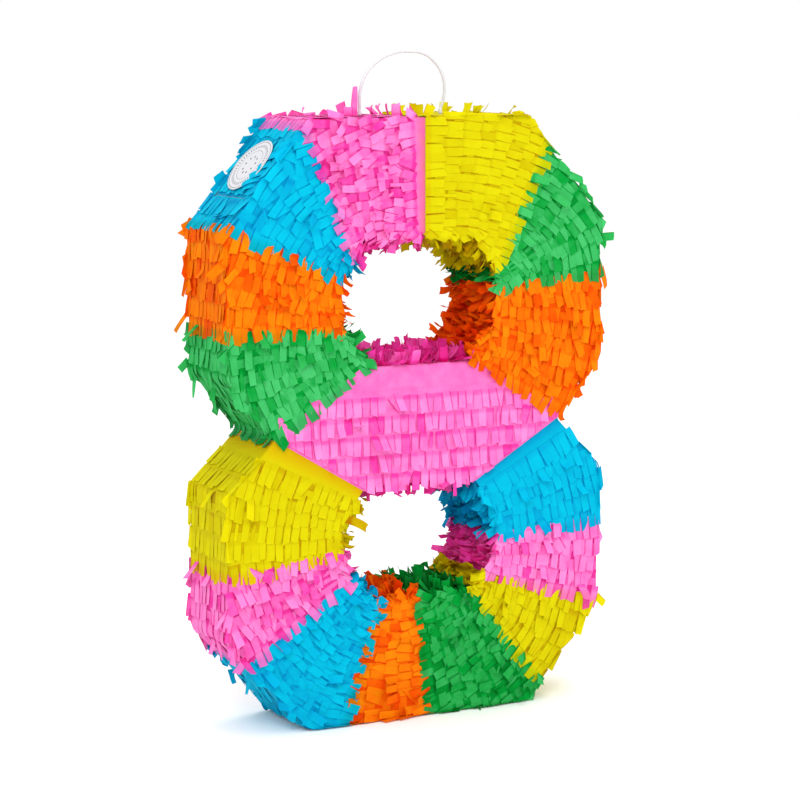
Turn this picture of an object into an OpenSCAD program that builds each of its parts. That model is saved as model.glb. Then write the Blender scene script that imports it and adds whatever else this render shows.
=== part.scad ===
// Piñata shaped like the figure 8: a hollow card box with two holes, wrapped in
// sixteen patches of fringed tissue paper, with a hanging loop and a fill flap.
// X runs to the right, the front faces -Y, and Z is up. The origin is the middle
// of the bottom face.

/* [Figure 8] */
// Height of the figure, without the loop
body_h = 500; // [480:1:520]
// Width of both lobes
body_w = 350; // [340:1:360]
// Depth from front to back
body_d = 80; // [70:1:100]
// Width across the waist
waist_w = 266; // [250:1:280]
// Length of the flat top edge
top_w = 200; // [190:1:220]
// Length of the flat bottom edge
bottom_w = 210; // [200:1:230]

/* [Holes] */
// Width of both holes
hole_w = 144; // [130:1:150]
// Length of the flat edges above and below each hole
hole_flat_w = 98; // [80:1:110]
// Bottom of the upper hole
upper_hole_z0 = 299; // [295:1:303]
// Top of the upper hole
upper_hole_z1 = 400; // [390:1:405]
// Bottom of the lower hole
lower_hole_z0 = 103; // [98:1:110]
// Top of the lower hole
lower_hole_z1 = 196; // [190:1:200]

/* [Card and paper] */
// Thickness of the corrugated card
card_t = 3; // [2:0.5:4]
// Thickness of the fringed tissue paper as it stands on the card
paper_t = 3; // [2:0.5:4]
// Thickness of the label
label_t = 0.4; // [0.2:0.1:1]
// Diameter of the label
label_d = 50; // [40:1:52]

/* [Fill flap] */
// Length of the flap up the slope
flap_l = 60; // [54:1:64]
// Width of the flap
flap_w = 54; // [52:1:58]
// Distance of the flap's middle from the middle of the sloping side
flap_up = 6; // [0:1:12]
// Distance of the flap's middle behind the middle of the depth
flap_back = 2; // [0:1:3]
// Gap round the flap
flap_gap = 0.4; // [0.3:0.1:1]

/* [Hanging loop] */
// Diameter of the cord
cord_d = 2.5; // [2:0.1:3]
// Place of the cord's left exit
exit_left_x = -36; // [-38:1:-34]
// Place of the cord's right exit
exit_right_x = 39; // [37:1:41]
// Diameter of the stopper knots
knot_d = 8; // [6:0.5:10]

/* [Hidden] */

CARD = "burlywood";
BLUE = "deepskyblue";
PINK = "hotpink";
YELLOW = "gold";
GREEN = "mediumseagreen";
ORANGE = "darkorange";

skin = paper_t + card_t;        // depth from the outer surface to the inside of the card
inner_d = body_d - 2 * skin;    // clear depth between the panels
far = 12;                       // how far a cut runs past the outline

// Heights of the outline's corners
bottom_corner_z = 80;
lower_lobe_z = 202;
waist_z = 245;
upper_lobe_z = 293;
top_corner_z = 412;
hole_corner_upper = 32;         // height of a chamfer in the upper hole
hole_corner_lower = 31;         // height of a chamfer in the lower hole

// Right half of the outline from the bottom up, then the same points mirrored
right_half = [
    [bottom_w / 2, 0], [body_w / 2, bottom_corner_z], [body_w / 2, lower_lobe_z], [waist_w / 2, waist_z],
    [body_w / 2, upper_lobe_z], [body_w / 2, top_corner_z], [top_w / 2, body_h]
];
outline = concat(right_half, [for (i = [len(right_half) - 1:-1:0]) [-right_half[i][0], right_half[i][1]]]);
upper_hole = hole_corners(upper_hole_z0, upper_hole_z1, hole_corner_upper);
lower_hole = hole_corners(lower_hole_z0, lower_hole_z1, hole_corner_lower);

// The eight corners of a hole, anticlockwise
function hole_corners(z0, z1, corner) = [
    [-hole_flat_w / 2, z0], [hole_flat_w / 2, z0], [hole_w / 2, z0 + corner], [hole_w / 2, z1 - corner],
    [hole_flat_w / 2, z1], [-hole_flat_w / 2, z1], [-hole_w / 2, z1 - corner], [-hole_w / 2, z0 + corner]
];

// An anticlockwise outline with every side moved inwards by d
function side_normal(a, b) = let (v = (b - a) / norm(b - a)) [-v[1], v[0]];
function moved_in(path, d) = [
    for (i = [0:len(path) - 1])
        let (
            last = path[(i + len(path) - 1) % len(path)],
            next = path[(i + 1) % len(path)],
            n1 = side_normal(last, path[i]),
            n2 = side_normal(path[i], next)
        )
        path[i] + d * (n1 + n2) / (1 + n1 * n2)
];

// Lines between the paper patches, each from a point in a hole to one past the outline
cut_blue_pink = [[-56, 385], [-108, body_h + far]];
cut_pink_yellow = [[5, 390], [5, body_h + far]];
cut_yellow_green = [[66, 360], [125, body_h + far]];
cut_green_orange = [[62, 358], [185, 372]];
cut_blue_orange = [[-60, 378], [-185, 425]];
cut_orange_green = [[-60, 330], [-185, 335]];
cut_waist_upper = [[44, 308], [150, waist_z]];
cut_waist_lower = [[42, 190], [150, waist_z]];
cut_yellow_pink = [[-62, 149], [-185, 139]];
cut_pink_blue = [[-58, 126], [-185, 38]];
cut_blue_orange_low = [[-36, 112], [-75, -far]];
cut_orange_green_low = [[2, 112], [16, -far]];
cut_green_yellow_low = [[50, 112], [154, -far]];
cut_yellow_pink_low = [[58, 118], [185, 85]];
cut_pink_blue_right = [[62, 150], [185, 159]];

// The sloping upper left side, where the flap is
slope_run = (body_w - top_w) / 2;
slope_drop = body_h - top_corner_z;
slope_angle = atan2(slope_drop, slope_run);
crease_s = flap_up - flap_l / 2;   // the crease, measured up the slope from its middle
bare_below = 6;                    // bare card left below the crease, so that the flap can turn
bare_above = 5;                    // and above it

// The loop: it stands on its two hinge points, just clear of the paper
loop_z = body_h + 2;
loop_route = [
    [exit_left_x, loop_z], [-36, 511], [-35, 520], [-30, 532], [-18, 543], [-3, 549], [10, 550],
    [24, 548], [33, 542], [40, 533], [43, 522], [42, 511], [exit_right_x, loop_z]
];
ring_step = 0.5;                   // rings at each point of the route and halfway between
ring_sides = 8;
exit_clear = 0.25;                 // room round the cord in its exit holes

// A point at t along the route, on a smooth curve through its points
function at(i) = loop_route[max(0, min(len(loop_route) - 1, i))];
function route_point(t) = let (i = floor(t), f = t - i, a = at(i - 1), b = at(i), c = at(i + 1), d = at(i + 2))
    b + f * (c - a) / 2 + f * f * (a - 2.5 * b + 2 * c - d / 2) + f * f * f * (1.5 * b - a / 2 - 1.5 * c + d / 2);

// Turns an outline in X and Z into a slab between two depths
module slab(y0, y1) {
    translate([0, y1, 0]) rotate([90, 0, 0]) linear_extrude(y1 - y0) children();
}

// The figure 8 with its sides moved in by d and its holes grown by as much
module figure(d) {
    difference() {
        polygon(moved_in(outline, d));
        polygon(moved_in(upper_hole, -d));
        polygon(moved_in(lower_hole, -d));
    }
}

// Places children on the sloping side: X up the slope, Z outwards, 0 at its middle
module on_slope() {
    translate([-(body_w + top_w) / 4, 0, (body_h + top_corner_z) / 2]) rotate([0, -slope_angle, 0]) children();
}

// A block on the sloping side, from s0 to s1 up the slope and z0 to z1 outwards
module slope_block(s0, s1, width, z0, z1) {
    on_slope() translate([s0, flap_back - width / 2, z0]) cube([s1 - s0, width, z1 - z0]);
}

module exit_holes() {
    for (x = [exit_left_x, exit_right_x])
        translate([x, 0, body_h - skin - card_t - 1]) cylinder(h = skin + card_t + 2, d = cord_d + 2 * exit_clear, $fn = 32);
}

// Card

module front_panel() {
    color(CARD) slab(-body_d / 2 + paper_t, -inner_d / 2) figure(paper_t);
}

module back_panel() {
    color(CARD) slab(inner_d / 2, body_d / 2 - paper_t) figure(paper_t);
}

// Half of the band round the outline: side is -1 for the left and 1 for the right
module side_band(side) {
    slab(-inner_d / 2, inner_d / 2) intersection() {
        difference() {
            polygon(moved_in(outline, paper_t));
            polygon(moved_in(outline, skin));
        }
        translate([side > 0 ? 0 : -body_w, 0]) square([body_w, body_h]);
    }
}

module left_band() {
    color(CARD) difference() {
        side_band(-1);
        slope_block(crease_s - flap_gap, crease_s + flap_l + flap_gap, flap_w + 2 * flap_gap, -skin - 1, 1);
        exit_holes();
    }
}

module right_band() {
    color(CARD) difference() {
        side_band(1);
        exit_holes();
    }
}

module hole_band(hole) {
    slab(-inner_d / 2, inner_d / 2) difference() {
        polygon(moved_in(hole, -skin));
        polygon(moved_in(hole, -paper_t));
    }
}

module upper_hole_band() {
    color(CARD) hole_band(upper_hole);
}

module lower_hole_band() {
    color(CARD) hole_band(lower_hole);
}

// A card glued across the joint of the two side bands, l long, with its lowest face at z
module joint_card(l, z) {
    translate([-l / 2, -inner_d / 2 + 9, z]) cube([l, inner_d - 18, card_t]);
}

module anchor_card() {
    color(CARD) difference() {
        joint_card(120, body_h - skin - card_t);
        exit_holes();
    }
}

module lap_card() {
    color(CARD) joint_card(90, skin);
}

// Cord

// The two ends: up through the top, with a stopper knot and a short tail below
module cord_ends() {
    knot_z = body_h - skin - card_t - knot_d / 2;
    color("white") for (x = [exit_left_x, exit_right_x]) translate([x, 0, 0]) {
        translate([0, 0, knot_z - knot_d / 2 - 5]) cylinder(h = body_h - knot_z + knot_d / 2 + 5, d = cord_d, $fn = 32);
        translate([0, 0, knot_z]) sphere(d = knot_d, $fn = 48);
    }
}

module hang_loop() {
    ts = [for (t = [0:ring_step:len(loop_route) - 1]) t];
    points = [for (t = ts)
        let (
            p = route_point(t),
            ahead = route_point(min(t + 0.01, len(loop_route) - 1)) - route_point(max(t - 0.01, 0)),
            out = side_normal([0, 0], ahead)
        )
        for (k = [0:ring_sides - 1])
            let (a = 360 * (k + 0.5) / ring_sides, r = cord_d / 2)
            [p[0] + r * cos(a) * out[0], r * sin(a), p[1] + r * cos(a) * out[1]]];
    last = (len(ts) - 1) * ring_sides;
    faces = concat(
        [[for (k = [0:ring_sides - 1]) k]],
        [[for (k = [ring_sides - 1:-1:0]) last + k]],
        [for (i = [0:len(ts) - 2], k = [0:ring_sides - 1])
            let (a = i * ring_sides + k, b = i * ring_sides + (k + 1) % ring_sides)
            [a, a + ring_sides, b + ring_sides, b]]
    );
    color("white") polyhedron(points, faces);
}

// Fill flap: it turns outwards about its crease, on the card's outer face

module fill_flap() {
    color(CARD) slope_block(crease_s, crease_s + flap_l, flap_w, -skin, -paper_t);
}

module flap_paper() {
    color(BLUE) slope_block(crease_s + bare_above, crease_s + flap_l, flap_w, -paper_t, 0);
}

module fill_label() {
    color("white") on_slope() translate([flap_up, flap_back, 0]) cylinder(h = label_t, d = label_d, $fn = 64);
}

// Paper

// The layer of paper round the whole figure, above the base
module paper_layer() {
    difference() {
        slab(-body_d / 2, body_d / 2) figure(0);
        slab(-body_d / 2 + paper_t, body_d / 2 - paper_t) figure(paper_t);
        translate([-body_w / 2, -body_d / 2 - 1, -1]) cube([body_w, body_d + 2, paper_t + 1]);
    }
}

// The part of it between two cuts, with any corners between their far ends
module patch(cut_a, corners, cut_b) {
    intersection() {
        paper_layer();
        slab(-body_d, body_d) polygon(concat(cut_a, corners, [cut_b[1], cut_b[0]]));
    }
}

// A cut mirrored to the other side
function mirrored(cut) = [for (p = cut) [-p[0], p[1]]];

module base_paper() {
    color(ORANGE) slab(-body_d / 2, body_d / 2) intersection() {
        polygon(outline);
        translate([-body_w / 2, 0]) square([body_w, paper_t]);
    }
}

module blue_top_left() {
    color(BLUE) difference() {
        patch(cut_blue_pink, [[-185, body_h + far]], cut_blue_orange);
        slope_block(crease_s - bare_below, crease_s + flap_l + flap_gap, flap_w + 2 * flap_gap, -skin, 1);
    }
}

module pink_top() {
    color(PINK) difference() {
        patch(cut_blue_pink, [], cut_pink_yellow);
        exit_holes();
    }
}

module yellow_top() {
    color(YELLOW) difference() {
        patch(cut_pink_yellow, [], cut_yellow_green);
        exit_holes();
    }
}

module green_upper_right() {
    color(GREEN) patch(cut_yellow_green, [[185, body_h + far]], cut_green_orange);
}

module orange_right() {
    color(ORANGE) patch(cut_green_orange, [[185, waist_z]], cut_waist_upper);
}

module orange_left() {
    color(ORANGE) patch(cut_blue_orange, [], cut_orange_green);
}

module green_left() {
    color(GREEN) patch(cut_orange_green, [[-185, waist_z]], mirrored(cut_waist_upper));
}

module pink_waist() {
    color(PINK) intersection() {
        paper_layer();
        slab(-body_d, body_d) polygon([
            cut_waist_lower[0], cut_waist_lower[1], cut_waist_upper[0], mirrored(cut_waist_upper)[0],
            mirrored(cut_waist_upper)[1], mirrored(cut_waist_lower)[0]
        ]);
    }
}

module yellow_left() {
    color(YELLOW) patch(mirrored(cut_waist_lower), [[-185, waist_z]], cut_yellow_pink);
}

module pink_left() {
    color(PINK) patch(cut_yellow_pink, [], cut_pink_blue);
}

module blue_bottom_left() {
    color(BLUE) patch(cut_pink_blue, [[-185, -far]], cut_blue_orange_low);
}

module orange_bottom() {
    color(ORANGE) patch(cut_blue_orange_low, [], cut_orange_green_low);
}

module green_bottom_right() {
    color(GREEN) patch(cut_orange_green_low, [], cut_green_yellow_low);
}

module yellow_right() {
    color(YELLOW) patch(cut_green_yellow_low, [[185, -far]], cut_yellow_pink_low);
}

module pink_right() {
    color(PINK) patch(cut_yellow_pink_low, [], cut_pink_blue_right);
}

module blue_right() {
    color(BLUE) patch(cut_pink_blue_right, [[185, waist_z]], cut_waist_lower);
}

front_panel();
back_panel();
left_band();
right_band();
upper_hole_band();
lower_hole_band();
anchor_card();
lap_card();
cord_ends();
hang_loop();
fill_flap();
flap_paper();
fill_label();
base_paper();
blue_top_left();
pink_top();
yellow_top();
green_upper_right();
orange_right();
orange_left();
green_left();
pink_waist();
yellow_left();
pink_left();
blue_bottom_left();
orange_bottom();
green_bottom_right();
yellow_right();
pink_right();
blue_right();
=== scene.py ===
"""Piñata shaped like the figure 8: a card box wrapped in sixteen patches of fringed tissue paper,
with a plastic cord loop on top and a round label on its fill flap.

Metres, +Z up, the front towards -Y, the origin in the middle of the bottom face.
"""
import math
from collections import namedtuple

import bpy
import numpy as np
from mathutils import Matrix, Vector


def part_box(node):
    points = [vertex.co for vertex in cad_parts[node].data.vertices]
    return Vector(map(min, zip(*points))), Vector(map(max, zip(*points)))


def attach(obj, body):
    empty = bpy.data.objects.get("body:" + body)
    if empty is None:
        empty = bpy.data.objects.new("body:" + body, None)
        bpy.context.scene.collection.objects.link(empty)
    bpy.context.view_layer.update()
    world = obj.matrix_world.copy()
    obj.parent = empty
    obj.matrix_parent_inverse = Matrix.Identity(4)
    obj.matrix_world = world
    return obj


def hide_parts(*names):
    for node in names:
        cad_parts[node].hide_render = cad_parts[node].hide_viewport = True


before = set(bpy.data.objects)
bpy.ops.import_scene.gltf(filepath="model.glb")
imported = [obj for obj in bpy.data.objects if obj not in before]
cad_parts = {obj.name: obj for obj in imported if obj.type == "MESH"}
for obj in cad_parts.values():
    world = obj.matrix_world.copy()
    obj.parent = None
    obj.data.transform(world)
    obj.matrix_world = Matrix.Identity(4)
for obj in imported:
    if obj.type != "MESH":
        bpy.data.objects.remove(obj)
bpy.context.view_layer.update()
MM = 0.001

# ---------------------------------------------------------------- sizes

# Right half of the figure's outline from the bottom up, in millimetres, as in the design
RIGHT_HALF = [(105, 0), (175, 80), (175, 202), (133, 245), (175, 293), (175, 412), (100, 500)]
# Corners of the two holes, right half from the bottom up
UPPER_HOLE = [(49, 299), (72, 331), (72, 368), (49, 400)]
LOWER_HOLE = [(49, 103), (72, 134), (72, 165), (49, 196)]

HALF_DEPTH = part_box("pink_top")[1].y
BODY_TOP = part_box("pink_top")[1].z
SKIN = -2.4 * MM      # the smooth backing paper, measured outwards from the design's surface
ROUND = 3 * MM        # half the length over which paper rounds a corner
BEND = 0.25 * MM      # how far the middle of a rounded edge lies inside the sharp one
TAB_W = 7.4 * MM      # width of one fringe tab
TAB_L = 18 * MM       # length of one fringe tab
SPINE = 6 * MM        # uncut edge of a fringe strip, glued down under the row before
ROW = 16.5 * MM       # distance between rows of smooth fringe
CROWD = 4.5 * MM      # how much closer together the rows of fully ruffled fringe are
LAYER = 0.07 * MM     # step in height between the papers of neighbouring patches
PAPER = 0.4 * MM      # height of a glued strip above the backing paper
TAB_U = 6             # faces along a tab
TAB_W_PLACES = (-0.5, 0.0, 0.37, 0.5)   # points across a tab, as shares of its width; the narrow strip by the last point carries a painted shade line
GROUND_ROOM = 2.6 * MM           # paper lower than this is pressed flat by the weight of the figure
DEPTH_ROOM = (46 * MM, 5 * MM)   # beyond the first distance paper is held back, to at most the second more

# Places where two patches meet, from a point at a hole's edge to one on the outline, in millimetres
CUTS = {
    "blue-pink": ((-60, 386), (-102, 498)),
    "pink-yellow": ((5, 400), (5, 500)),
    "yellow-green": ((70, 372), (117, 480)),
    "green-orange": ((72, 360), (175, 371)),
    "orange-waist": ((50, 301), (138, 251)),
    "blue-orange": ((-68, 374), (-169, 419)),
    "orange-green": ((-72, 331), (-175, 335)),
    "green-waist": ((-50, 301), (-135, 247)),
    "waist-yellow": ((-50, 196), (-136, 248)),
    "yellow-pink": ((-72, 150), (-175, 140)),
    "pink-blue": ((-66, 125), (-160, 63)),
    "blue-orange-low": ((-39, 103), (-72, 0)),
    "orange-green-low": ((3, 103), (15, 0)),
    "green-yellow-low": ((54, 104), (122, 20)),
    "yellow-pink-low": ((64, 118), (175, 87)),
    "pink-blue-right": ((72, 151), (175, 158)),
    "blue-waist": ((50, 196), (135, 247)),
}

# One patch: its colour, its hole, the cut its rows start from, the cut its tips hang over, the width
# of the plain band at the start in millimetres, how ruffled it is from 0 to 1, the colour under its
# tips, how much lighter than the rest its paper is, the colour under its plain band, and how far its
# last row hangs over the next colour in millimetres
Patch = namedtuple("Patch", "colour hole start end band ruffled under lighter band_over over",
                   defaults=(0.0, None, 12.5))
PATCHES = {
    "blue_top_left": Patch("blue", "upper", "blue-pink", "blue-orange", 2, 0.4, "orange"),
    "pink_top": Patch("pink", "upper", "pink-yellow", "blue-pink", 10, 0.9, "blue", 0.0, "yellow"),
    "yellow_top": Patch("yellow", "upper", "pink-yellow", "yellow-green", 0, 0.12, "green"),
    "green_upper_right": Patch("green", "upper", "yellow-green", "green-orange", 2, 0.5, "orange"),
    "orange_right": Patch("orange", "upper", "green-orange", "orange-waist", 2, 0.6, "pink"),
    "orange_left": Patch("orange", "upper", "blue-orange", "orange-green", 2, 0.6, "green"),
    "green_left": Patch("green", "upper", "orange-green", "green-waist", 2, 0.5, "pink"),
    "yellow_left": Patch("yellow", "lower", "waist-yellow", "yellow-pink", 22, 0.15, "pink", 0.0, "pink"),
    "pink_left": Patch("pink", "lower", "yellow-pink", "pink-blue", 2, 0.8, "blue"),
    "blue_bottom_left": Patch("blue", "lower", "pink-blue", "blue-orange-low", 2, 0.8, "orange", over=8),
    "orange_bottom": Patch("orange", "lower", "orange-green-low", "blue-orange-low", 2, 0.5, "blue",
                           over=0),
    "green_bottom_right": Patch("green", "lower", "green-yellow-low", "orange-green-low", 2, 0.7, "orange",
                                -0.22),
    "yellow_right": Patch("yellow", "lower", "yellow-pink-low", "green-yellow-low", 2, 0.4, "green"),
    "pink_right": Patch("pink", "lower", "pink-blue-right", "yellow-pink-low", 2, 0.4, "yellow"),
    "blue_right": Patch("blue", "lower", "blue-waist", "pink-blue-right", 16, 0.2, "pink", 0.0, "pink"),
}

# The fill flap on the sloping upper left side, measured up the slope from the slope's middle
SLOPE_MIDDLE = (-137.5, 456)
CREASE, FLAP_TOP = -24 * MM, 36 * MM
FLAP_Y = (-25 * MM, 29 * MM)
OPENING = (-30 * MM, 36.4 * MM)      # the opening in the patch round it
OPENING_Y = (-25.4 * MM, 29.4 * MM)
LABEL_MIDDLE = (6 * MM, 2 * MM)      # up the slope, and back
LABEL_R = 25 * MM

# ---------------------------------------------------------------- camera and cord

def add_camera():
    """A long lens a little above the middle of the figure, to the left of its front."""
    distance, azimuth, elevation = 2.209, math.radians(28.07), math.radians(8.42)
    back = Vector((-math.sin(azimuth) * math.cos(elevation), -math.cos(azimuth) * math.cos(elevation),
                   math.sin(elevation)))
    cam = bpy.data.objects.new("camera", bpy.data.cameras.new("camera"))
    bpy.context.scene.collection.objects.link(cam)
    cam.location = Vector((0, 0, BODY_TOP / 2)) + distance * back
    cam.rotation_euler = (-back).to_track_quat("-Z", "Y").to_euler()
    cam.data.lens, cam.data.sensor_width = 119.2, 36
    cam.data.shift_x, cam.data.shift_y = 0.0019, 0.0181
    bpy.context.scene.camera = cam


add_camera()

# The cord's route, in millimetres, as in the design
CORD_D = 2.5 * MM
CORD_ROUTE = [
    (-36, 502), (-36, 511), (-35, 520), (-30, 532), (-18, 543), (-3, 549), (10, 550),
    (24, 548), (33, 542), (40, 533), (43, 522), (42, 511), (39, 502)
]


def add_cord():
    curve = bpy.data.curves.new("cord_loop", "CURVE")
    curve.dimensions = "3D"
    # A point's radius scales the bevel, and a small one keeps the curve's own box close to it
    curve.bevel_depth, curve.bevel_resolution, curve.resolution_u = CORD_D / 2 / MM, 6, 8
    curve.use_fill_caps = True
    line = curve.splines.new("BEZIER")
    line.bezier_points.add(len(CORD_ROUTE) - 1)
    for point, (x, z) in zip(line.bezier_points, CORD_ROUTE):
        point.co = (x * MM, 0, z * MM)
        point.handle_left_type = point.handle_right_type = "AUTO"
        point.radius = MM
    loop = bpy.data.objects.new("cord_loop", curve)
    bpy.context.scene.collection.objects.link(loop)
    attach(loop, "loop")
    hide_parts("hang_loop")
    return loop


cord_loop = add_cord()


# ---------------------------------------------------------------- materials

def rgb(code):
    """sRGB hex to linear."""
    parts = [int(code[i:i + 2], 16) / 255 for i in (1, 3, 5)]
    return (*[c / 12.92 if c <= 0.04045 else ((c + 0.055) / 1.055) ** 2.4 for c in parts], 1)


def put(tree, kind, sockets=None, **settings):
    """Adds a node with its settings, and sets or links its sockets."""
    node = tree.nodes.new(kind)
    for name, value in settings.items():
        setattr(node, name, value)
    for name, value in (sockets or {}).items():
        if isinstance(value, bpy.types.NodeSocket):
            tree.links.new(value, node.inputs[name])
        else:
            node.inputs[name].default_value = value
    return node


def new_material(name):
    material = bpy.data.materials.new(name)
    material.use_nodes = True
    material.node_tree.nodes.clear()
    return material, material.node_tree


def tissue(name, *tones):
    """Tissue paper: thin and soft, so it is matt, lets some light through and is finely creased."""
    material, tree = new_material(name)
    place = put(tree, "ShaderNodeTexCoord").outputs["Object"]
    tint = put(tree, "ShaderNodeAttribute", attribute_name="tint").outputs["Fac"]
    # Cloudy density: the pulp lies unevenly over about 12 mm
    cloud = put(tree, "ShaderNodeTexNoise", {"Vector": place, "Scale": 85, "Detail": 3, "Roughness": 0.6})
    both = put(tree, "ShaderNodeMath", {0: cloud.outputs["Fac"], 1: 0.5, 2: tint}, operation="MULTIPLY_ADD")
    share = put(tree, "ShaderNodeMapRange", {"Value": both.outputs[0], "From Min": 0.22, "From Max": 1.22})
    # The low end of this ramp is painted shade: low tints mark the holes, the slits and the paper under the
    # rows
    dye = put(tree, "ShaderNodeValToRGB", {"Fac": share.outputs[0]})
    for stop, tone in zip((dye.color_ramp.elements[0], dye.color_ramp.elements.new(0.45),
                           dye.color_ramp.elements[-1]), tones):
        stop.color = rgb(tone)
    # Paper that lies on another colour is tinged by it, unevenly
    under = put(tree, "ShaderNodeAttribute", attribute_name="under")
    seen = put(tree, "ShaderNodeMath", {0: under.outputs["Alpha"], 1: cloud.outputs["Fac"]},
               operation="MULTIPLY")
    colour = put(tree, "ShaderNodeMix", {
        "Factor": seen.outputs[0], "A": dye.outputs["Color"], "B": under.outputs["Color"]},
        data_type="RGBA", blend_type="MULTIPLY")
    # Creases about 3 mm apart
    crease = put(tree, "ShaderNodeTexNoise", {
        "Vector": place, "Scale": 330, "Detail": 2, "Distortion": 0.6})
    bump = put(tree, "ShaderNodeBump", {
        "Height": crease.outputs["Fac"], "Strength": 0.2, "Distance": 0.3 * MM})
    dull = put(tree, "ShaderNodeBsdfPrincipled", {
        "Base Color": colour.outputs["Result"], "Roughness": 0.7, "Specular IOR Level": 0.04,
        "Normal": bump.outputs[0]})
    through = put(tree, "ShaderNodeBsdfTranslucent", {"Color": colour.outputs["Result"]})
    mix = put(tree, "ShaderNodeMixShader", {"Fac": 0.22, 1: dull.outputs[0], 2: through.outputs[0]})
    put(tree, "ShaderNodeOutputMaterial", {"Surface": mix.outputs[0]})
    return material


# The paper's three tones: deep, which is painted shade in the holes, in the slits and under the rows;
# middling, where it is doubled or in painted shade; and light
TONES = {
    "blue": ("#0069B4", "#00A2CC", "#00BDDA"),
    "pink": ("#C4005F", "#E83CA4", "#F78DD0"),
    "yellow": ("#A86000", "#C8B800", "#D8D006"),
    "green": ("#006418", "#009835", "#46BE6B"),
    "orange": ("#DE2A00", "#E85200", "#EE8606"),
}
TISSUE = {colour: tissue("tissue_" + colour, *tones) for colour, tones in TONES.items()}


def corrugated_card():
    """Unbleached corrugated board: brown kraft liner, matt, with flecks and faint flute lines."""
    material, tree = new_material("kraft_card")
    place = put(tree, "ShaderNodeTexCoord").outputs["Object"]
    fleck = put(tree, "ShaderNodeTexNoise", {"Vector": place, "Scale": 900, "Detail": 4})
    colour = put(tree, "ShaderNodeMix", {
        "Factor": fleck.outputs["Fac"], "A": rgb("#8F6B42"), "B": rgb("#BE9866")}, data_type="RGBA")
    # Flutes 6 mm apart show faintly through the liner
    flute = put(tree, "ShaderNodeTexWave", {"Vector": place, "Scale": 53, "Distortion": 0.5})
    bump = put(tree, "ShaderNodeBump", {
        "Height": flute.outputs["Fac"], "Strength": 0.15, "Distance": 0.2 * MM})
    board = put(tree, "ShaderNodeBsdfPrincipled", {
        "Base Color": colour.outputs["Result"], "Roughness": 0.85, "Normal": bump.outputs[0]})
    put(tree, "ShaderNodeOutputMaterial", {"Surface": board.outputs[0]})
    return material


def white_cord():
    """Extruded white plastic cord: smooth, half gloss, with a slightly milky look."""
    material, tree = new_material("white_plastic_cord")
    place = put(tree, "ShaderNodeTexCoord").outputs["Object"]
    scuff = put(tree, "ShaderNodeTexNoise", {"Vector": place, "Scale": 500, "Detail": 2})
    colour = put(tree, "ShaderNodeMix", {
        "Factor": scuff.outputs["Fac"], "A": rgb("#BEBEC2"), "B": rgb("#D2D2D6")}, data_type="RGBA")
    cord = put(tree, "ShaderNodeBsdfPrincipled", {
        "Base Color": colour.outputs["Result"], "Roughness": 0.35, "IOR": 1.5})
    put(tree, "ShaderNodeOutputMaterial", {"Surface": cord.outputs[0]})
    return material


def printed_label():
    """A sticker of coated white paper, half gloss, with thin grey printed rings and dots."""
    material, tree = new_material("coated_label_paper")
    place = put(tree, "ShaderNodeAttribute", attribute_name="print_mm").outputs["Vector"]
    reach = put(tree, "ShaderNodeVectorMath", {0: place}, operation="LENGTH").outputs["Value"]
    axes = put(tree, "ShaderNodeSeparateXYZ", {"Vector": place})
    turn = put(tree, "ShaderNodeMath", {0: axes.outputs["Y"], 1: axes.outputs["X"]}, operation="ARCTAN2")

    def ring(radius, width):
        band = put(tree, "ShaderNodeMath", {0: reach, 1: radius, 2: width / 2}, operation="COMPARE")
        return band.outputs[0]

    def dashes(radius, width, count, fill):
        """A ring cut into dashes: fill is the share of each step that is printed."""
        wave = put(tree, "ShaderNodeMath", {0: turn.outputs[0], 1: count / (2 * math.pi)},
                   operation="MULTIPLY")
        part = put(tree, "ShaderNodeMath", {0: wave.outputs[0]}, operation="FRACT")
        printed = put(tree, "ShaderNodeMath", {0: part.outputs[0], 1: fill}, operation="LESS_THAN")
        return put(tree, "ShaderNodeMath", {0: printed.outputs[0], 1: ring(radius, width)},
                   operation="MULTIPLY").outputs[0]

    ink = ring(23.2, 0.5)
    for mark in (ring(14.6, 0.35), dashes(19, 2.6, 44, 0.35), dashes(8, 2.2, 9, 0.3)):
        ink = put(tree, "ShaderNodeMath", {0: ink, 1: mark}, operation="MAXIMUM").outputs[0]
    # Offset ink is a little thin, so it shows grey
    grain = put(tree, "ShaderNodeTexNoise", {"Vector": place, "Scale": 1.5, "Detail": 3})
    paper = put(tree, "ShaderNodeMix", {
        "Factor": grain.outputs["Fac"], "A": rgb("#BFBFC4"), "B": rgb("#CCCCD0")}, data_type="RGBA")
    colour = put(tree, "ShaderNodeMix", {
        "Factor": ink, "A": paper.outputs["Result"], "B": rgb("#55555C")}, data_type="RGBA")
    face = put(tree, "ShaderNodeBsdfPrincipled", {
        "Base Color": colour.outputs["Result"], "Roughness": 0.45, "Specular IOR Level": 0.4})
    put(tree, "ShaderNodeOutputMaterial", {"Surface": face.outputs[0]})
    return material


CARD = corrugated_card()
CORD = white_cord()
LABEL = printed_label()
cord_loop.data.materials.append(CORD)

CARD_NODES = ("front_panel", "back_panel", "left_band", "right_band", "upper_hole_band", "lower_hole_band",
              "anchor_card", "lap_card", "fill_flap")


def finish_nodes():
    for name in (*CARD_NODES, "cord_ends"):
        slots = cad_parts[name].data.materials
        slots.clear()
        slots.append(CORD if name == "cord_ends" else CARD)


finish_nodes()


# ---------------------------------------------------------------- the figure's outlines

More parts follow.
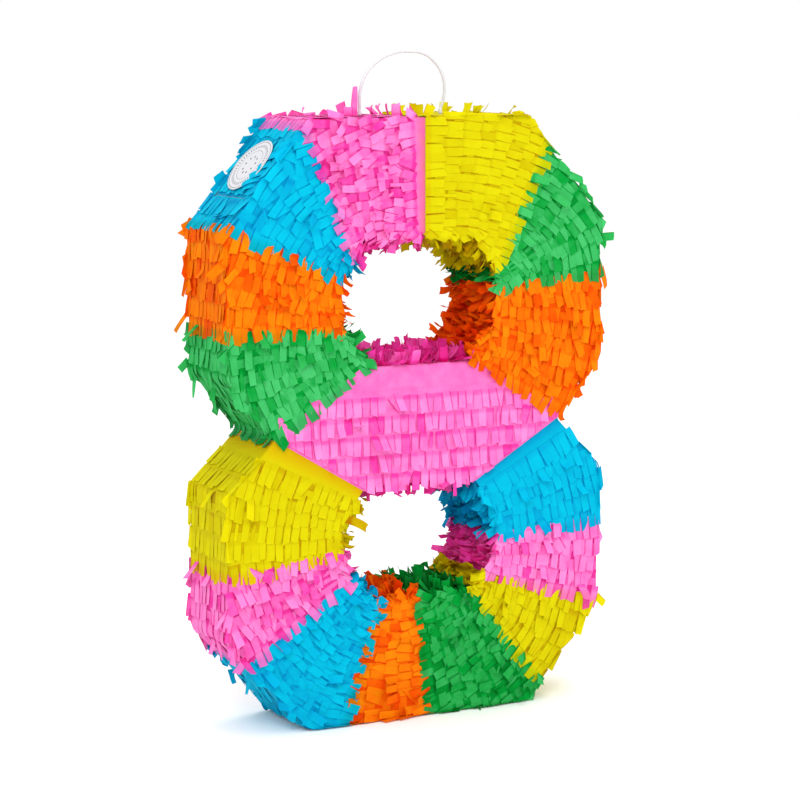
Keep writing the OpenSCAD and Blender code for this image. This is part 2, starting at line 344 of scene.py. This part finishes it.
class Path:
    """A closed outline in X and Z, anticlockwise, with its corners rounded over ROUND."""

    def __init__(self, right_half, side):
        left = [(-x, z) for x, z in reversed(right_half)]
        corners = np.array(right_half + left + right_half[:1], float) * MM
        self.corners, self.side = corners, side
        self.marks = np.concatenate([[0], np.cumsum(np.hypot(*np.diff(corners, axis=0).T))])
        self.length = self.marks[-1]

    def sharp(self, s):
        s = np.mod(s, self.length)
        return np.stack([np.interp(s, self.marks, self.corners[:, k]) for k in (0, 1)], -1)

    def at(self, s):
        return (self.sharp(s - ROUND) + self.sharp(s) + self.sharp(s + ROUND)) / 3

    def out(self, s):
        """The direction away from the card."""
        along = self.sharp(s + ROUND) - self.sharp(s - ROUND)
        along /= np.linalg.norm(along, axis=-1, keepdims=True)
        return self.side * np.stack([along[..., 1], -along[..., 0]], -1)

    def nearest(self, point):
        s = np.linspace(0, self.length, 4000, endpoint=False)
        return s[np.argmin(np.linalg.norm(self.sharp(s) - np.array(point) * MM, axis=-1))]

    def beyond(self, points):
        """How far points lie outside the card past this outline, and the direction there."""
        a, b = self.corners[:-1], self.corners[1:]
        d = b - a
        rel = points[..., None, :] - a
        share = np.clip((rel * d).sum(-1) / (d * d).sum(-1), 0, 1)
        gap = rel - share[..., None] * d
        size = np.linalg.norm(gap, axis=-1)
        near = size.argmin(-1)
        gap = np.take_along_axis(gap, near[..., None, None], -2)[..., 0, :]
        size = np.take_along_axis(size, near[..., None], -1)
        x, z = points[..., 0:1], points[..., 1:2]
        span = (a[:, 1] > z) != (b[:, 1] > z)
        rise = np.where(b[:, 1] == a[:, 1], 1, b[:, 1] - a[:, 1])
        crosses = span & (x < d[:, 0] * (z - a[:, 1]) / rise + a[:, 0])
        inside = crosses.sum(-1) % 2 == 1
        outside = ~inside if self.side > 0 else inside
        return np.where(outside[..., None], size, 0), gap / np.maximum(size, 1e-9)


OUTLINE = Path(RIGHT_HALF, 1)
HOLES = {"upper": Path(UPPER_HOLE, -1), "lower": Path(LOWER_HOLE, -1)}


class Limb:
    """The stretch of the figure that one patch wraps, from t = 0 at its start to 1 at its end."""

    def __init__(self, hole, start, end):
        self.hole = HOLES[hole]
        (in0, out0), (in1, out1) = CUTS[start], CUTS[end]
        self.inner = self.span(self.hole, in0, in1)
        self.outer = self.span(OUTLINE, out0, out1)
        self.length = 0.8 * abs(self.outer[1]) + 0.2 * abs(self.inner[1])

    @staticmethod
    def span(path, first, last):
        """Where a stretch of an outline starts, and its signed length."""
        s0, s1 = path.nearest(first), path.nearest(last)
        return s0, (s1 - s0 + path.length / 2) % path.length - path.length / 2

    def places(self, t):
        return self.inner[0] + t * self.inner[1], self.outer[0] + t * self.outer[1]

    def line(self, t):
        """Ends of the line across the front face, at the hole and at the outline."""
        s_in, s_out = self.places(t)
        return self.hole.at(s_in), OUTLINE.at(s_out)

    def way(self, t, share):
        """The direction across a row, towards its tips, and the distance covered per unit of t."""
        (a, b), (a2, b2) = self.line(t), self.line(t + 0.02)
        across = (b - a) / np.linalg.norm(b - a)
        square = np.array([-across[1], across[0]])
        step = ((a2 - a) * (1 - share[:, None]) + (b2 - b) * share[:, None]) / 0.02
        speed = step @ square
        return square * np.sign(speed.mean()), np.abs(speed)


# ---------------------------------------------------------------- paper

def kept_in(points):
    """Paper flattens on the ground and, at the front and back, stays within its room."""
    x, y, z = np.moveaxis(points, -1, 0)
    low = GROUND_ROOM - np.minimum(z, GROUND_ROOM)
    z = np.where(low > 0, GROUND_ROOM ** 2 / (GROUND_ROOM + low), z)
    free, more = DEPTH_ROOM
    past = np.maximum(np.abs(y) - free, 0)
    y = np.where(past > 0, np.sign(y) * (free + more * np.tanh(past / more)), y)
    return np.stack([x, y, z], -1)


def smooth_mesh(name, points, faces, material):
    mesh = bpy.data.meshes.new(name)
    mesh.from_pydata(points.reshape(-1, 3).tolist(), [], faces.reshape(-1, 4).tolist())
    mesh.polygons.foreach_set("use_smooth", [True] * len(mesh.polygons))
    mesh.materials.append(material)
    return mesh


def round_faces(rows, cols):
    """Faces between rings of points that are closed on themselves."""
    corner = np.arange(rows * cols).reshape(rows, cols)
    beside = np.roll(corner, -1, 1)
    return np.stack([corner[:-1], beside[:-1], beside[1:], corner[1:]], -1)


class Paper:
    """The paper of one piece: grids of points, each with a tint and with a colour that shows through."""

    def __init__(self):
        self.points, self.faces, self.tints, self.unders, self.count = [], [], [], [], 0

    def add(self, grids, tint, under=None, share=0.0, missing=None):
        """grids: (sheets, rows, columns, 3). tint and share fit that shape. missing: faces left out."""
        n, rows, cols, _ = grids.shape
        corner = np.arange(rows * cols).reshape(rows, cols)
        quads = np.stack([corner[:-1, :-1], corner[:-1, 1:], corner[1:, 1:], corner[1:, :-1]], -1)
        quads = quads.reshape(-1, 4) if missing is None else quads[~missing]
        faces = quads[None] + (self.count + np.arange(n) * rows * cols)[:, None, None]
        self.points.append(kept_in(grids).reshape(-1, 3))
        self.faces.append(faces.reshape(-1, 4))
        self.tints.append(np.broadcast_to(tint, grids.shape[:3]).ravel())
        shown = np.zeros((*grids.shape[:3], 4))
        if under:
            shown[..., :3] = rgb(TONES[under][2])[:3]
            shown[..., 3] = share
        self.unders.append(shown.reshape(-1, 4))
        self.count += n * rows * cols

    def piece(self, name, colour, body, *nodes):
        mesh = smooth_mesh(name, np.concatenate(self.points), np.concatenate(self.faces), TISSUE[colour])
        mesh.attributes.new("tint", "FLOAT", "POINT").data.foreach_set("value", np.concatenate(self.tints))
        mesh.attributes.new("under", "FLOAT_COLOR", "POINT").data.foreach_set(
            "color", np.concatenate(self.unders).ravel())
        return placed(bpy.data.objects.new(name, mesh), body, colour + "_tissue", *nodes)


def placed(ob, body, slot, *nodes):
    """Puts a piece into the scene, on its body and in place of its nodes; its slot is not used."""
    bpy.context.scene.collection.objects.link(ob)
    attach(ob, body)
    if nodes:
        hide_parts(*nodes)
    return ob


# How a tab of fringe lies: its length, how ruffled the fringe is, the angle at which it leaves the
# paper, how much more it bends towards its tip, and how far it is swung round and spread about that
Lie = namedtuple("Lie", "length ruffled lift curl swing spread", defaults=(TAB_L, 0.3, 0.03, 0.0, 0.0, 0.0))
HOLE_PAINTED_SHADE = -0.34       # how much lighter, or here deeper, the paper in the holes is: painted shade
SHADED, PLAIN = 0.3, 0.75   # tint of backing paper under fringe, and where it shows


def cut_tabs(rng, n, lie, lighter=0.0):
    """Shapes of n tabs, as distances along the paper, across it and off it, and their tints."""
    u = np.linspace(0, 1, TAB_U + 1)[None, :, None]
    w = np.array(TAB_W_PLACES)[None, None, :]

    def spread(size):
        return rng.normal(0, size, (n, 1, 1))

    def some(chance):
        return rng.random((n, 1, 1)) < chance

    loose = lie.ruffled
    length = np.reshape(lie.length, (-1, 1, 1)) * (1 + spread(0.06))
    # A few are torn narrow, raised or folded
    raised = some(0.10 * loose) * rng.uniform(0.1, 0.8, (n, 1, 1))
    width = TAB_W * (0.97 + spread(0.05)) * np.where(some(0.005 + 0.03 * loose), 0.4, 1)
    folded = some(0.2 * loose) * spread(0.7) * (u > rng.uniform(0.3, 0.7, (n, 1, 1)))
    lift = np.reshape(lie.lift, (-1, 1, 1)) + np.abs(spread(0.005 + 0.06 * loose))
    curl = np.reshape(lie.curl, (-1, 1, 1)) + spread(0.02 + 0.15 * loose)
    angle = np.clip(lift + raised + curl * u ** 2 + folded, -0.25 * u, 2.8)
    middle, step = (angle[:, 1:] + angle[:, :-1]) / 2, length / TAB_U
    zero = np.zeros((n, 1, 1))
    along = np.concatenate([zero, np.cumsum(np.cos(middle) * step, 1)], 1)
    height = np.concatenate([zero, np.cumsum(np.sin(middle) * step, 1)], 1)
    # Ends cut a little askew, and tabs that twist and cup
    along = along + spread(0.2) * width * w * u ** 3
    across = width * w * (1 + spread(0.04) * u)
    height = (height + spread(0.04 + 0.2 * loose) * width * w * u
              + spread(0.05 + 0.5 * loose) * width * w ** 2 * u)
    swing = (np.reshape(lie.swing, (-1, 1, 1)) + spread(0.02 + 0.2 * loose + lie.spread)
             + some(0.02 + 0.18 * loose) * spread(0.5))
    # Most are light, some doubled and so deeper; near its root each gets painted shade from the row above,
    # and one side edge gets a deep line of painted shade, as in the slits between tabs
    tint = np.where(some(0.08 + 0.25 * loose), rng.uniform(0.45, 0.65, (n, 1, 1)),
                    rng.uniform(0.72, 0.92, (n, 1, 1)))
    tint = tint + lighter - 0.22 * (u < 0.2)
    tint = np.where(w == w.max(), rng.uniform(-0.1, 0.3, (n, 1, 1)), tint)
    across = across * np.where(some(0.3), -1, 1)
    cos, sin = np.cos(swing), np.sin(swing)
    along, across = along * cos - across * sin, along * sin + across * cos
    return along, across, PAPER + height, tint


def on_face(paper, rng, tabs, roots, way, side, under=None, share=0.0):
    """Tabs on the front (side -1) or the back (side 1). Paper past an edge folds back over it."""
    along, across, height, tint = tabs
    cross = np.array([-way[1], way[0]])
    flat = roots[:, None, None] + along[..., None] * way + across[..., None] * cross
    depth = np.zeros(height.shape)
    fold = rng.uniform(0.2, 1.3, (len(roots), 1, 1))
    for path in (OUTLINE, *HOLES.values()):
        far, out = path.beyond(flat)
        far = far[..., 0]
        flat = flat - out * (far * (1 - np.cos(fold)))[..., None]
        depth += far * np.sin(fold)
    y = side * (HALF_DEPTH + SKIN + height - depth)
    paper.add(np.stack([flat[..., 0], y, flat[..., 1]], -1), tint, under, share)


def on_wall(paper, tabs, path, s, y, sense, under=None, share=0.0):
    """Tabs on the outer side or in a hole, which follow the outline as it bends."""
    along, across, height, tint = tabs
    place = np.reshape(s, (-1, 1, 1)) + sense * along
    flat = path.at(place) + path.out(place) * (SKIN + height)[..., None]
    y = np.reshape(y, (-1, 1, 1)) + across
    paper.add(np.stack([flat[..., 0], y, flat[..., 1]], -1), tint, under, share)


def sheet(path, s, y, height):
    """Points at the given places on an outline, depths and height off the surface."""
    flat = path.at(s) + path.out(s) * np.reshape(height, (-1, 1))
    return np.stack(np.broadcast_arrays(flat[:, None, 0], y, flat[:, None, 1]), -1)


def spaced(rng, reach, pitch):
    """Shares from 0 to 1 of places about a tab's width apart along a reach, with a chance start."""
    count = max(1, round(reach / pitch))
    share = (np.arange(count) + 0.5 + rng.uniform(-0.5, 0.5) + rng.uniform(-0.12, 0.12, count)) / count
    return share[(share > 0.01) & (share < 0.99)]


def depths(rng):
    """Places from front to back of the tabs of one row on the outer side or in a hole."""
    return (spaced(rng, 2 * HALF_DEPTH, TAB_W) * 2 - 1) * HALF_DEPTH


FACE_SHARE = np.linspace(0, 1, 19)
EDGE = HALF_DEPTH + SKIN - ROUND
SIDE_Y = np.sort(np.append(np.linspace(-EDGE, EDGE, 15), OPENING_Y))


def rings(limb, t, rise):
    """Closed loops of points round a limb: over its front, its outer side, its back and its hole's wall."""
    a, b = limb.line(t)
    s_in, s_out = limb.places(t)
    pull = (b - a) / np.linalg.norm(b - a, axis=-1, keepdims=True) * ROUND
    bent = SKIN + rise - BEND
    share = FACE_SHARE[:, None]
    face = (a + pull)[:, None] * (1 - share) + (b - pull)[:, None] * share
    level = np.broadcast_to(HALF_DEPTH + SKIN + rise[:, None], face.shape[:2])
    front = np.stack([face[..., 0], -level, face[..., 1]], -1)
    edge = HALF_DEPTH + SKIN - BEND
    return np.concatenate([
        front,
        sheet(OUTLINE, s_out, [-edge], bent),
        sheet(OUTLINE, s_out, SIDE_Y, SKIN + rise),
        sheet(OUTLINE, s_out, [edge], bent),
        front[:, ::-1] * (1, -1, 1),
        sheet(limb.hole, s_in, [edge], bent),
        sheet(limb.hole, s_in, SIDE_Y[::-1], SKIN + rise),
        sheet(limb.hole, s_in, [-edge], bent),
        front[:, :1]], 1)


def up_slope(s):
    """Distance up the slope from its middle, for a place on the outline."""
    return OUTLINE.nearest(SLOPE_MIDDLE) - s


def opening_faces(limb, t):
    """The faces of a set of rings that lie in the fill opening."""
    columns = 2 * len(FACE_SHARE) + 2 * len(SIDE_Y) + 4
    missing = np.zeros((len(t) - 1, columns), bool)
    up = up_slope(limb.places((t[1:] + t[:-1]) / 2)[1])
    y = (SIDE_Y[1:] + SIDE_Y[:-1]) / 2
    inside = (((up > OPENING[0]) & (up < OPENING[1]))[:, None] & (y > OPENING_Y[0]) & (y < OPENING_Y[1]))
    first = len(FACE_SHARE) + 1
    missing[:, first:first + len(y)] = inside
    return missing


def backing(paper, limb, rise, p):
    """The smooth paper under the fringe. Its end lies a little higher, over the next patch's start."""
    t = np.linspace(-0.5 * MM / limb.length, 1 + 4 * MM / limb.length, 40)
    edges = (OUTLINE.nearest(SLOPE_MIDDLE) - np.array(OPENING) - limb.outer[0]) / limb.outer[1]
    t = np.sort(np.append(t, edges[(edges > 0) & (edges < 1)]))
    band = p.band * MM / limb.length
    tint = np.where(t < band + 0.02, PLAIN, SHADED)[None, :, None]
    share = 1.2 * np.clip(1 - t / max(band, 1e-6), 0, 1)[None, :, None]
    level = rise + (t - 0.5) * 0.5 * MM
    paper.add(rings(limb, t, level)[None], tint, p.band_over, share, opening_faces(limb, t))


def over_opening(s, y):
    up = up_slope(s)
    beside = 0.45 * TAB_W
    return (up > OPENING[0]) & (up < OPENING[1]) & (y > OPENING_Y[0] - beside) & (y < OPENING_Y[1] + beside)


def tip_share(last):
    """How much of the colour underneath shows along a tab of the last row."""
    if not last:
        return 0.0
    u = np.linspace(0, 1, TAB_U + 1)[None, :, None]
    return 0.5 * np.clip((u - 0.35) * 3, 0, 1)


def patch(name, number):
    """All the paper of one patch: backing, then strips of fringe in rows from its start to its end."""
    p = PATCHES[name]
    rng = np.random.default_rng(100 + number)
    limb = Limb(p.hole, p.start, p.end)
    paper = Paper()
    rise = number % 4 * LAYER
    backing(paper, limb, rise, p)
    sense = np.sign(limb.outer[1])
    first, last = p.band * MM, limb.length + p.over * MM - TAB_L
    pitch = ROW - CROWD * p.ruffled
    rows = np.linspace(first, last, max(2, round((last - first) / pitch) + 1)) / limb.length
    for k, t in enumerate(rows):
        if k:
            strip = t + np.array([-SPINE, 1 * MM]) / limb.length
            paper.add(rings(limb, strip, np.full(2, rise + PAPER - 0.1 * MM))[None], PLAIN - 0.1,
                      missing=opening_faces(limb, strip))
        ends = k == len(rows) - 1
        fringe_row(paper, rng, name, limb, t, rows[1] - rows[0], p.under if ends else None, tip_share(ends))
    hole_fringe(paper, rng, limb)
    if name == "blue_top_left":
        flap_surround(paper, rng, sense)
    if name in STANDING:
        standing_tabs(paper, rng, sense, *STANDING[name])
    if name == "pink_top":
        tall_tab(paper, rng, sense)
    return paper.piece(name + "_fringe", p.colour, "shell", name)


def fringe_row(paper, rng, name, limb, t, gap_t, under, tinge):
    """One row of tabs over the front, the back and the outer side, and those that stray past its ends.

    under and tinge: the colour that the tips lie on, and how much of it shows through."""
    p = PATCHES[name]
    a, b = limb.line(t)
    for side in (-1, 1):
        share = spaced(rng, np.linalg.norm(b - a), TAB_W)
        way, speed = limb.way(t, share)
        gap = speed * gap_t
        # Near the hole the rows crowd, so fewer tabs show
        keep = rng.random(len(share)) < np.clip(gap / (9 * MM), 0.3, 1)
        share, gap = share[keep], gap[keep]
        lie = Lie(np.clip(gap + 4 * MM, 13 * MM, TAB_L + 1 * MM), p.ruffled, 0.03)
        tabs = cut_tabs(rng, len(share), lie, p.lighter)
        on_face(paper, rng, tabs, a + (b - a) * share[:, None], way, side, under, tinge)
    s_out = limb.places(t)[1]
    y = depths(rng)
    y = y[~over_opening(np.full(len(y), s_out), y)]
    lie = Lie(TAB_L, 0.0 if name in STANDING else min(p.ruffled, 0.35), 0.04)
    tabs = cut_tabs(rng, len(y), lie, p.lighter)
    on_wall(paper, tabs, OUTLINE, s_out, y, np.sign(limb.outer[1]), under, tinge)
    rim_tabs(paper, rng, p, a, b, way)


def hole_fringe(paper, rng, limb):
    """In the hole the strips are crowded and stand up, and painted shade deepens their colour."""
    count = max(2, round(abs(limb.inner[1]) / (7 * MM)))
    for s in limb.inner[0] + (np.arange(count) + 0.3) / count * limb.inner[1]:
        y = depths(rng)
        lift = rng.uniform(0.15, 1.3, len(y))
        lie = Lie(rng.uniform(10 * MM, 17 * MM, len(y)), 1.0, lift, rng.uniform(-0.3, 1.2, len(y)), 0, 0.4)
        on_wall(paper, cut_tabs(rng, len(y), lie, HOLE_PAINTED_SHADE), limb.hole, s, y, np.sign(limb.inner[1]))


def rim_tabs(paper, rng, p, a, b, way):
    """Tabs at the two ends of a row that stray over the hole's rim and past the outline."""
    cross = np.array([-way[1], way[0]])
    outward = np.sign((b - a) @ cross)
    for place, turn, chance in ((a, -outward, 1.0), (b, outward, 0.2 + 0.4 * p.ruffled)):
        for side in (-1, 1):
            count = int(rng.random() < chance) + int(rng.random() < chance - 0.3)
            roots = place + (a + b - 2 * place) * rng.uniform(0.01, 0.06, (count, 1))
            lie = Lie(rng.uniform(9 * MM, 14 * MM, count), p.ruffled, 0.06, 0.1,
                      turn * rng.uniform(0.2, 0.9, count), 0.1)
            on_face(paper, rng, cut_tabs(rng, count, lie, p.lighter), roots, way, side)


# Where tabs stand up on the top face, clear of the cord's swing: their places along it and how many
STANDING = {"pink_top": ((-88, -46), (-11, 0), 12), "yellow_top": ((8, 20), (52, 98), 16)}


def standing_tabs(paper, rng, sense, first, second, count):
    """Short tabs that stand up on the top face, in two stretches."""
    x = np.where(rng.random(count) < 0.35, rng.uniform(*first, count), rng.uniform(*second, count))
    s = np.array([OUTLINE.nearest((at, BODY_TOP / MM)) for at in x])
    y = rng.uniform(-36, 36, count) * MM
    lie = Lie(rng.uniform(8 * MM, 12 * MM, count), 0.5, rng.uniform(0.6, 1.3, count),
              rng.uniform(-0.8, 1.4, count), 0, 0.8)
    on_wall(paper, cut_tabs(rng, count, lie), OUTLINE, s, y, sense)


def tall_tab(paper, rng, sense):
    """One long tab that stands up beside the cord's left foot."""
    s = OUTLINE.nearest((-43, BODY_TOP / MM))
    on_wall(paper, cut_tabs(rng, 1, Lie(24 * MM, 0.0, 1.65, 0.0, -0.35)), OUTLINE, s, [-3 * MM], sense)


# ---------------------------------------------------------------- flap and label

def flap_surround(paper, rng, sense):
    """Paper beside the flap: a strip below its crease, and a few tabs over the label's front edge."""
    crease = OUTLINE.nearest(SLOPE_MIDDLE) - CREASE
    below = crease + 2.5 * MM
    strip = crease + np.array([0.3, 6.5]) * MM
    paper.add(sheet(OUTLINE, strip, OPENING_Y, SKIN - 0.5 * MM)[None], PLAIN)
    y = np.arange(OPENING_Y[0], OPENING_Y[1], TAB_W)
    on_wall(paper, cut_tabs(rng, len(y), Lie(TAB_L, 0.2, 0.04)), OUTLINE, below, y, sense)
    up = np.array([20, 11, 3, -4, -10]) * MM
    s = OUTLINE.nearest(SLOPE_MIDDLE) - up
    lie = Lie(np.array([10, 12, 15, 16, 12]) * MM, 0.0, 0.36, -0.5, 0.9)
    on_wall(paper, cut_tabs(rng, len(up), lie), OUTLINE, s, np.full(len(up), OPENING_Y[0] - 1 * MM), sense)


def flap_tissue():
    """The tissue on the fill flap, which turns with it: backing and four strips of fringe."""
    rng = np.random.default_rng(60)
    paper = Paper()
    middle = OUTLINE.nearest(SLOPE_MIDDLE)
    up = np.linspace(CREASE, FLAP_TOP, 12)
    paper.add(sheet(OUTLINE, middle - up, np.linspace(*FLAP_Y, 12), SKIN - 0.4 * MM)[None], SHADED)
    for root, length in ((35, 18), (21, 18), (7, 17), (-7, 14.5)):
        y = FLAP_Y[0] + spaced(rng, FLAP_Y[1] - FLAP_Y[0], TAB_W) * (FLAP_Y[1] - FLAP_Y[0])
        tabs = cut_tabs(rng, len(y), Lie(length * MM, 0.0, 0.02))
        on_wall(paper, tabs, OUTLINE, middle - root * MM, y, 1)
    paper.piece("flap_fringe", "blue", "flap", "flap_paper")


def fill_label():
    """A round paper label, stuck on fringe and therefore a little wavy."""
    reach = np.linspace(0, LABEL_R, 22)[:, None]
    turn = np.linspace(0, 2 * math.pi, 97)[None, :-1]
    up, back = reach * np.sin(turn), reach * np.cos(turn)
    share = reach / LABEL_R
    height = (0.3 + 0.25 * np.sin(2 * turn + 1) * share ** 2 + 0.12 * np.sin(5 * turn) * share ** 3) * MM
    place = OUTLINE.nearest(SLOPE_MIDDLE) - LABEL_MIDDLE[0] - up
    flat = OUTLINE.at(place) + OUTLINE.out(place) * height[..., None]
    points = np.stack([flat[..., 0], LABEL_MIDDLE[1] + back, flat[..., 1]], -1)
    mesh = smooth_mesh("fill_label_disc", points, round_faces(*up.shape), LABEL)
    printed = np.stack([back, up, 0 * up], -1) / MM
    mesh.attributes.new("print_mm", "FLOAT_VECTOR", "POINT").data.foreach_set("vector", printed.ravel())
    ob = placed(bpy.data.objects.new("fill_label_disc", mesh), "flap", "label_paper", "fill_label")
    ob.modifiers.new("paper thickness", "SOLIDIFY").thickness = 0.25 * MM


# ---------------------------------------------------------------- waist

# Half the width of the bar between the holes against height, from the lower hole up to the upper one
WAIST = np.array([*CUTS["blue-waist"], *CUTS["orange-waist"][::-1]]) * MM
WAIST_ROWS = (272, 256, 240, 224, 208)     # heights at which its strips are cut, in millimetres
WAIST_TAB = 15 * MM
WAIST_TINT = 0.72
# The bar's lower and upper sides, in the holes, and half their length
WAIST_CORNER, WAIST_LOW, WAIST_HIGH = UPPER_HOLE[0][0] * MM, LOWER_HOLE[-1][1] * MM, UPPER_HOLE[0][1] * MM


def waist_backing(paper):
    """The smooth paper round the bar between the two holes, and on the wings on each side of it."""
    level = HALF_DEPTH + SKIN + 0.2 * MM
    z = np.linspace(WAIST_LOW - SKIN + ROUND, WAIST_HIGH + SKIN - ROUND, 15)
    y = np.linspace(-level + ROUND, level - ROUND, 15)
    bend, high, low = level - BEND, WAIST_HIGH + SKIN, WAIST_LOW - SKIN
    loop_y = np.concatenate([[-level] * 15, [-bend], y, [bend], [level] * 15, [bend], -y, [-bend, -level]])
    loop_z = np.concatenate([z, [high - BEND], [high] * 15, [high - BEND], z[::-1], [low + BEND], [low] * 15,
                             [low + BEND], z[:1]])
    x = np.linspace(-WAIST_CORNER, WAIST_CORNER, 21)
    paper.add(np.stack(np.broadcast_arrays(x[:, None], loop_y, loop_z), -1)[None], WAIST_TINT)
    # The wings, front and back, reach under their neighbours
    x = np.linspace(WAIST_CORNER, RIGHT_HALF[3][0] * MM, 18)[:, None]
    low = np.interp(x, WAIST[:2, 0], WAIST[:2, 1]) - 2 * MM
    high = np.interp(x, WAIST[:1:-1, 0], WAIST[:1:-1, 1]) + 3 * MM
    z = low + (high - low) * np.linspace(0, 1, 15)
    for hand in (-1, 1):
        for side in (-1, 1):
            paper.add(np.stack(np.broadcast_arrays(hand * x, side * level, z), -1)[None], WAIST_TINT)
        middle = OUTLINE.nearest((hand * RIGHT_HALF[3][0], RIGHT_HALF[3][1]))
        notch = middle + np.linspace(-11, 11, 12) * MM
        paper.add(sheet(OUTLINE, notch, SIDE_Y, SKIN)[None], PLAIN)


def waist():
    """The bar between the holes: level strips that lie almost flat, under a wide plain band."""
    rng = np.random.default_rng(80)
    paper = Paper()
    waist_backing(paper)
    level = HALF_DEPTH + SKIN + 0.2 * MM + PAPER - 0.1 * MM
    for root in np.array(WAIST_ROWS) * MM:
        half = np.interp(root, WAIST[:, 1], WAIST[:, 0])
        for side in (-1, 1):
            x = half * (spaced(rng, 2 * half, TAB_W) * 2 - 1)
            tabs = cut_tabs(rng, len(x), Lie(WAIST_TAB, 0.25, 0.05))
            waist_tabs(paper, tabs, x, root, side)
            strip = np.stack(np.broadcast_arrays(
                np.linspace(-half, half, 30), side * level, root + np.array([[5 * MM], [-0.5 * MM]])), -1)
            paper.add(strip[None], WAIST_TINT)
    for path, z, count in ((HOLES["upper"], WAIST_HIGH, 17), (HOLES["lower"], WAIST_LOW, 9)):
        s0, reach = Limb.span(path, (-WAIST_CORNER / MM, z / MM), (WAIST_CORNER / MM, z / MM))
        for share in (np.arange(count) + 0.5) / count:
            y = depths(rng)
            # The tabs in the holes stand up, and painted shade deepens their colour
            lie = Lie(rng.uniform(9 * MM, 16 * MM, len(y)), 1.0, rng.uniform(0.2, 1.5, len(y)),
                      rng.uniform(-0.3, 1.3, len(y)), 0, 1.2)
            on_wall(paper, cut_tabs(rng, len(y), lie, HOLE_PAINTED_SHADE), path, s0 + share * reach, y, 1)
    paper.piece("pink_waist_fringe", "pink", "shell", "pink_waist")


def waist_tabs(paper, tabs, x, root, side):
    """Tabs that hang straight down, and end where the smooth start of the patch below covers them."""
    along, across, height, tint = tabs
    flat = np.stack([np.reshape(x, (-1, 1, 1)) + across, root - along], -1)
    edge = np.interp(np.abs(flat[..., 0]), WAIST[:2, 0], WAIST[:2, 1], left=0)
    flat[..., 1] = np.maximum(flat[..., 1], edge)
    y = side * (HALF_DEPTH + SKIN + 0.2 * MM + height)
    paper.add(np.stack([flat[..., 0], y, flat[..., 1]], -1), tint)


# ---------------------------------------------------------------- cord feet

def cord_feet():
    """The short necks on which the loop bends where it comes out of the card."""
    profile = np.array([
        (1.9, -2.5), (1.75, -1.0), (1.6, 0.0), (1.5, 0.6), (1.15, 1.25), (0.6, 1.6), (0.0, 1.7)]) * MM
    radius, height = profile[:, :1], profile[:, 1:]
    turn = np.linspace(0, 2 * math.pi, 25)[None, :-1]
    for name, (x, z) in (("cord_foot_left", CORD_ROUTE[0]), ("cord_foot_right", CORD_ROUTE[-1])):
        points = np.stack([
            x * MM + radius * np.cos(turn), radius * np.sin(turn), z * MM + height + 0 * turn], -1)
        mesh = smooth_mesh(name, points, round_faces(*points.shape[:2]), CORD)
        placed(bpy.data.objects.new(name, mesh), "shell", "white_cord")


for number, name in enumerate(PATCHES):
    made = patch(name, number)
    if name == "orange_bottom":
        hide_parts("base_paper")
waist()
flap_tissue()
fill_label()
cord_feet()


# ---------------------------------------------------------------- light and floor

def add_light(name, place, size, power, aim=(0, 0, 0.25)):
    lamp = bpy.data.lights.new(name, "AREA")
    lamp.shape, lamp.size, lamp.energy = "DISK", size, power
    ob = bpy.data.objects.new(name, lamp)
    bpy.context.scene.collection.objects.link(ob)
    ob.location = place
    ob.rotation_euler = (Vector(aim) - Vector(place)).to_track_quat("-Z", "Y").to_euler()


def add_studio():
    scene = bpy.context.scene
    add_light("key", (-1.6, -2.6, 2.4), 1.6, 60)
    add_light("fill", (2.4, -2.2, 1.2), 2.0, 20)
    add_light("top", (0.2, 0.4, 2.8), 2.0, 20)
    world = bpy.data.worlds.new("studio")
    world.use_nodes = True
    world.node_tree.nodes["Background"].inputs["Color"].default_value = (1, 1, 1, 1)
    world.node_tree.nodes["Background"].inputs["Strength"].default_value = 1.0
    scene.world = world
    scene.view_settings.view_transform = "Standard"
    mesh = bpy.data.meshes.new("floor")
    reach = 12
    mesh.from_pydata([(-reach, -reach, 0), (reach, -reach, 0), (reach, reach, 0), (-reach, reach, 0)], [],
                     [(0, 1, 2, 3)])
    floor = bpy.data.objects.new("floor", mesh)
    scene.collection.objects.link(floor)
    material, tree = new_material("pale_floor")
    pale = put(tree, "ShaderNodeBsdfPrincipled", {"Base Color": rgb("#FFFFFF"), "Roughness": 0.9})
    put(tree, "ShaderNodeOutputMaterial", {"Surface": pale.outputs[0]})
    mesh.materials.append(material)


add_studio()

bpy.context.view_layer.update()
